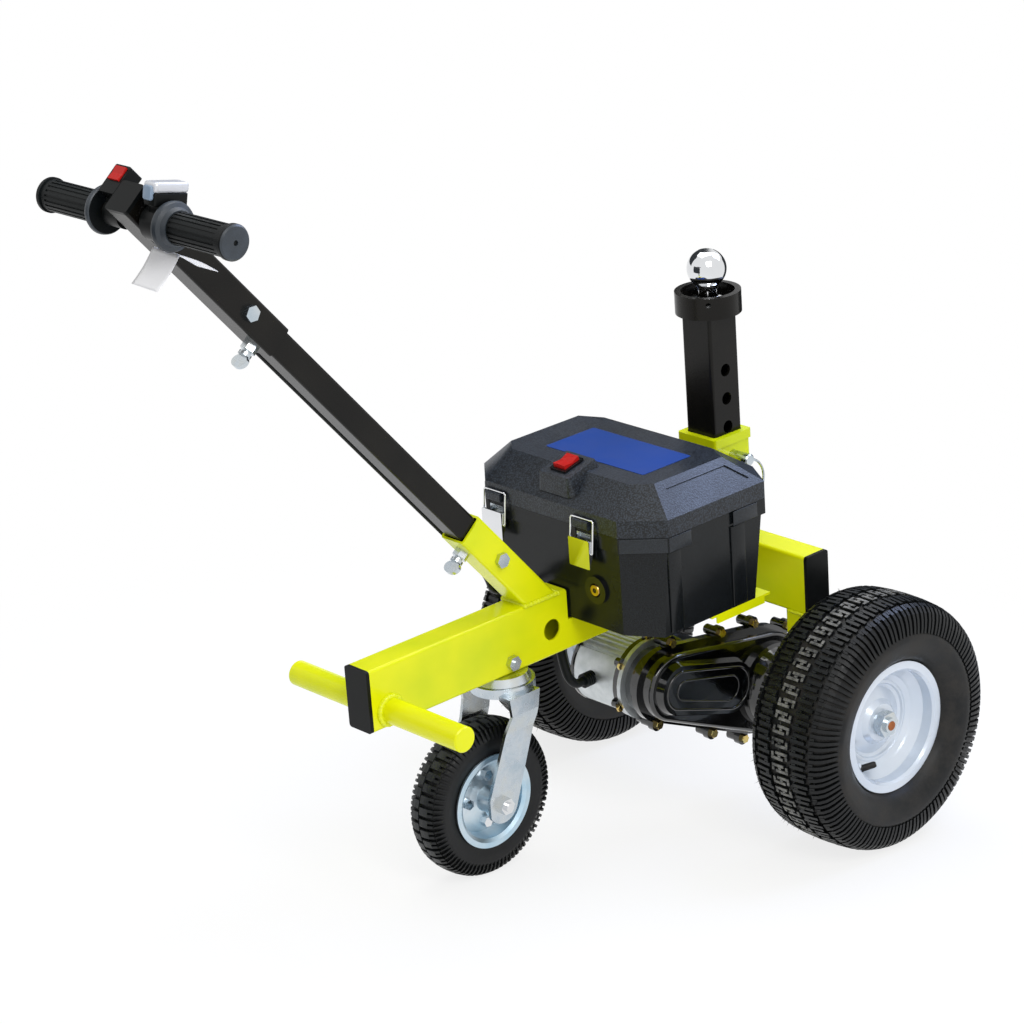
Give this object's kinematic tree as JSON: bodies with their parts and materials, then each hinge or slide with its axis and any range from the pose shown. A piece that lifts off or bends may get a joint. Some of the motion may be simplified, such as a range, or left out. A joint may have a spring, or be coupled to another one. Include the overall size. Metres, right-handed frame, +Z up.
{
  "type": "electric trailer dolly",
  "caption": "Battery powered dolly with two driven wheels, a swivel caster, an angled tiller with twist throttle and an adjustable tow ball for moving trailers.",
  "frame": {"origin": "middle of the bounding box on the ground plane that both drive tyres and the caster tyre stand on", "axes": "+X to the rear, towards the drive wheels and the hitch post; the handle reaches towards -X; -Y is the side of the gear case, throttle and charge socket; +Z up"},
  "size_m": [1.1164, 0.6384, 0.9598],
  "materials": {
    "frame_paint": "gloss yellow-green powder coat",
    "black_paint": "satin black paint",
    "zinc": "bright zinc plate",
    "chrome": "polished chrome",
    "gold_zinc": "yellow zinc plate",
    "rubber": "matt",
    "tyre": "matt",
    "rim_paint": "gloss silver-white",
    "aluminium": "die cast",
    "case_paint": "gloss black",
    "box_plastic": "grained",
    "plug_plastic": "satin",
    "switch_plastic": "gloss",
    "red_plastic": "gloss translucent",
    "grey_plastic": "silver paint",
    "blue_grey_plastic": "satin",
    "card": "coated card",
    "battery_case": "satin"
  },
  "bodies": {
    "chassis": {"adapter_ring": "aluminium", "axle_clamps": "black_paint", "axle_housings": "chrome", "batteries": "battery_case", "battery_tray": "frame_paint", "box_fittings": "zinc", "box_tub": "box_plastic", "caster_stem": "zinc", "charge_port": "switch_plastic", "control_lead": "rubber", "controller": "aluminium", "direction_pod": "plug_plastic", "far_grip": "rubber", "front_bar": "frame_paint", "gauge_cover": "grey_plastic", "gear_case": "case_paint", "gear_cover": "case_paint", "handle_fasteners": "zinc", "handle_lower_tube": "black_paint", "handle_socket": "frame_paint", "handle_upper_tube": "black_paint", "handlebar": "black_paint", "hang_tag": "card", "main_beam": "frame_paint", "motor_body": "aluminium", "motor_conduit": "rubber", "motor_end_cap": "case_paint", "motor_flange": "case_paint", "motor_gland": "rubber", "rear_cross_beams": "frame_paint", "receiver_tube": "frame_paint", "throttle_housing": "plug_plastic", "transaxle_bolts": "gold_zinc", "tube_end_plugs": "plug_plastic"},
    "near_wheel": {"near_tyre": "tyre", "near_rim": "rim_paint", "near_stub_axle": "zinc"},
    "far_wheel": {"far_tyre": "tyre", "far_rim": "rim_paint", "far_stub_axle": "zinc"},
    "caster": {"caster_fork": "zinc", "caster_axle": "zinc"},
    "caster_wheel": {"caster_rim": "zinc", "caster_tyre": "tyre"},
    "lid": {"box_lid": "box_plastic", "switch_body": "switch_plastic"},
    "power_switch": {"power_rocker": "red_plastic"},
    "near_lever": {"latch_lever_near": "chrome"},
    "far_lever": {"latch_lever_far": "chrome"},
    "near_bail": {"latch_bail_near": "chrome"},
    "far_bail": {"latch_bail_far": "chrome"},
    "post": {"hitch_post": "black_paint", "hitch_ball": "chrome"},
    "pin": {"hitch_pin": "zinc"},
    "throttle": {"throttle_grip": "rubber"},
    "mode_key": {"mode_button": "blue_grey_plastic"},
    "direction_switch": {"direction_rocker": "red_plastic"},
    "upper_screw": {"upper_thumbscrew": "zinc"},
    "lower_screw": {"lower_thumbscrew": "zinc"}
  },
  "joints": [
    {"name": "near_wheel_spin", "type": "hinge", "parent": "chassis", "child": "near_wheel", "pos_m": [0.39324, -0.255, 0.165], "axis": [0, 1, 0], "continuous": true},
    {"name": "far_wheel_spin", "type": "hinge", "parent": "chassis", "child": "far_wheel", "pos_m": [0.39324, 0.255, 0.165], "axis": [0, 1, 0], "continuous": true},
    {"name": "caster_swivel", "type": "hinge", "parent": "chassis", "child": "caster", "pos_m": [0.00003, 0, 0.23614], "axis": [-0.092, 0, 0.9958], "continuous": true},
    {"name": "caster_wheel_spin", "type": "hinge", "parent": "caster", "child": "caster_wheel", "pos_m": [-0.03776, 0, 0.1016], "axis": [0, 1, 0], "continuous": true},
    {"name": "lid_hinge", "type": "hinge", "parent": "chassis", "child": "lid", "pos_m": [0.32299, 0, 0.46029], "axis": [0, 1, 0], "range_deg": [0, 48]},
    {"name": "power_switch_tilt", "type": "hinge", "parent": "lid", "child": "power_switch", "pos_m": [0.10475, -0.003, 0.50237], "axis": [0, 1, 0], "range_deg": [-8, 8]},
    {"name": "near_lever_swing", "type": "hinge", "parent": "chassis", "child": "near_lever", "pos_m": [0.07409, -0.06, 0.42375], "axis": [0, 1, 0], "range_deg": [0, 120]},
    {"name": "near_bail_swing", "type": "hinge", "parent": "near_lever", "child": "near_bail", "pos_m": [0.07538, -0.06, 0.40981], "axis": [0, 1, 0], "range_deg": [-120, 0]},
    {"name": "far_lever_swing", "type": "hinge", "parent": "chassis", "child": "far_lever", "pos_m": [0.07409, 0.098, 0.42375], "axis": [0, 1, 0], "range_deg": [0, 120]},
    {"name": "far_bail_swing", "type": "hinge", "parent": "far_lever", "child": "far_bail", "pos_m": [0.07538, 0.098, 0.40981], "axis": [0, 1, 0], "range_deg": [-120, 0]},
    {"name": "post_height", "type": "slide", "parent": "chassis", "child": "post", "axis": [-0.092, 0, 0.9958], "range_m": [-0.1143, 0.1143]},
    {"name": "pin_pull", "type": "slide", "parent": "chassis", "child": "pin", "axis": [0, -1, 0], "range_m": [0, 0.1]},
    {"name": "throttle_twist", "type": "hinge", "parent": "chassis", "child": "throttle", "pos_m": [-0.52555, -0.055, 0.90276], "axis": [0, -1, 0], "range_deg": [0, 70], "stiffness_Nm_per_rad": 0.2},
    {"name": "mode_press", "type": "slide", "parent": "chassis", "child": "mode_key", "axis": [0, -1, 0], "range_m": [0, 0.002], "stiffness_N_per_m": 500},
    {"name": "direction_tilt", "type": "hinge", "parent": "chassis", "child": "direction_switch", "pos_m": [-0.52642, 0.0335, 0.94481], "axis": [0, 1, 0], "range_deg": [-8, 8]},
    {"name": "upper_screw_turn", "type": "hinge", "parent": "chassis", "child": "upper_screw", "pos_m": [-0.37839, 0, 0.7373], "axis": [-0.7037, 0, -0.7105], "continuous": true},
    {"name": "lower_screw_turn", "type": "hinge", "parent": "chassis", "child": "lower_screw", "pos_m": [-0.06505, 0, 0.42556], "axis": [-0.7037, 0, -0.7105], "continuous": true}
  ],
  "couplings": [
    {"joint": "near_bail_swing", "follows": "near_lever_swing", "ratio": -1},
    {"joint": "far_bail_swing", "follows": "far_lever_swing", "ratio": -1}
  ]
}
